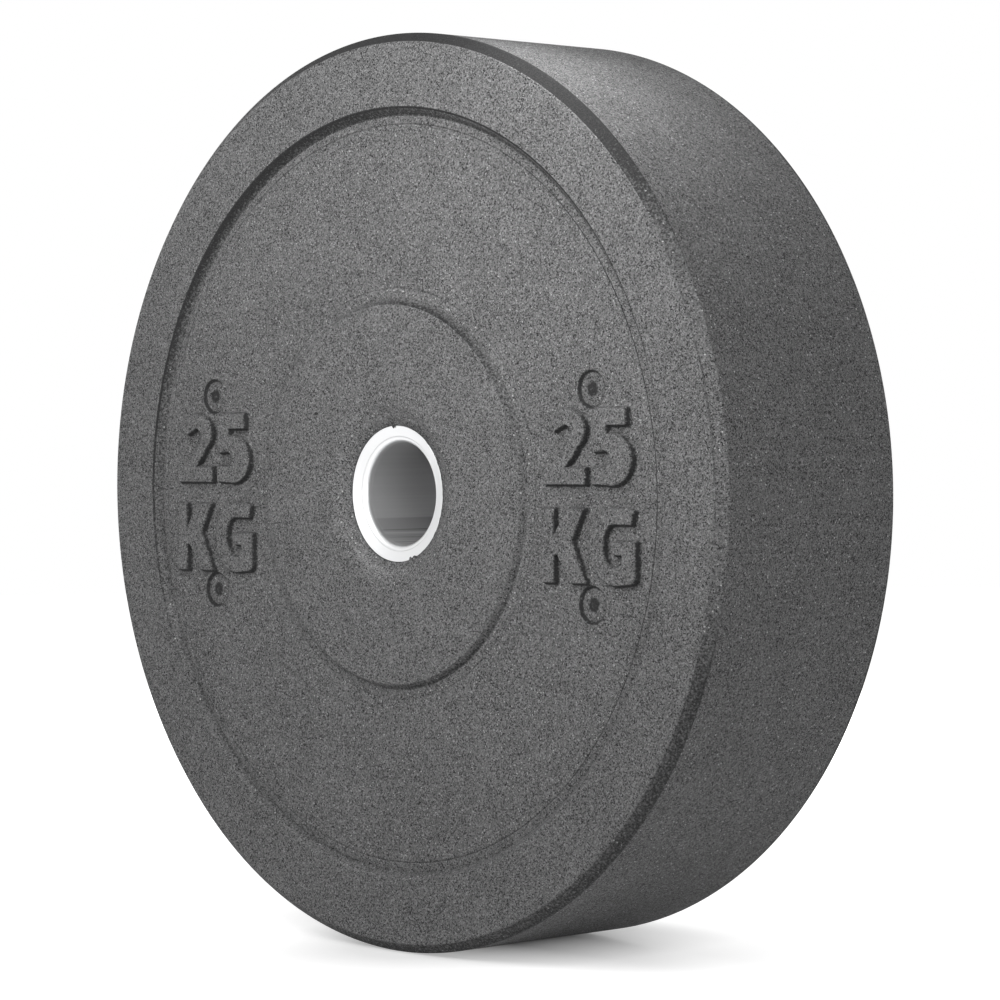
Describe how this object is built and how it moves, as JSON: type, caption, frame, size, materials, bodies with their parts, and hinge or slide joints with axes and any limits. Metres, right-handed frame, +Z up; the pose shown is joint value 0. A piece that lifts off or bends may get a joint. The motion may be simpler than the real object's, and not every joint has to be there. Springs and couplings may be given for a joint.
{
  "type": "bumper plate",
  "caption": "Thick round black crumb-rubber weight plate with a raised rim, a sunken web, a raised hub face and a steel-lined central bore.",
  "frame": {"origin": "centre of the bore, halfway between the two faces", "axes": "+Y along the bore's axis, away from the pictured face, which looks to -Y; +Z up with the plate standing on its tread; +X to the right of the pictured face"},
  "size_m": [0.4498, 0.12, 0.4498],
  "materials": {
    "crumb_rubber": "pressed crumb, fine speckled grain, matt with a faint sheen",
    "stainless_steel": "polished",
    "plain_steel": "cut plate, unpolished",
    "weld_metal": "as welded"
  },
  "bodies": {
    "root": {"rubber_body": "crumb_rubber", "hub_sleeve": "stainless_steel", "front_lip_collar": "stainless_steel", "rear_lip_collar": "stainless_steel", "front_anchor_plate": "plain_steel", "rear_anchor_plate": "plain_steel", "front_collar_weld": "weld_metal", "rear_collar_weld": "weld_metal", "front_plate_weld": "weld_metal", "rear_plate_weld": "weld_metal"}
  },
  "joints": []
}
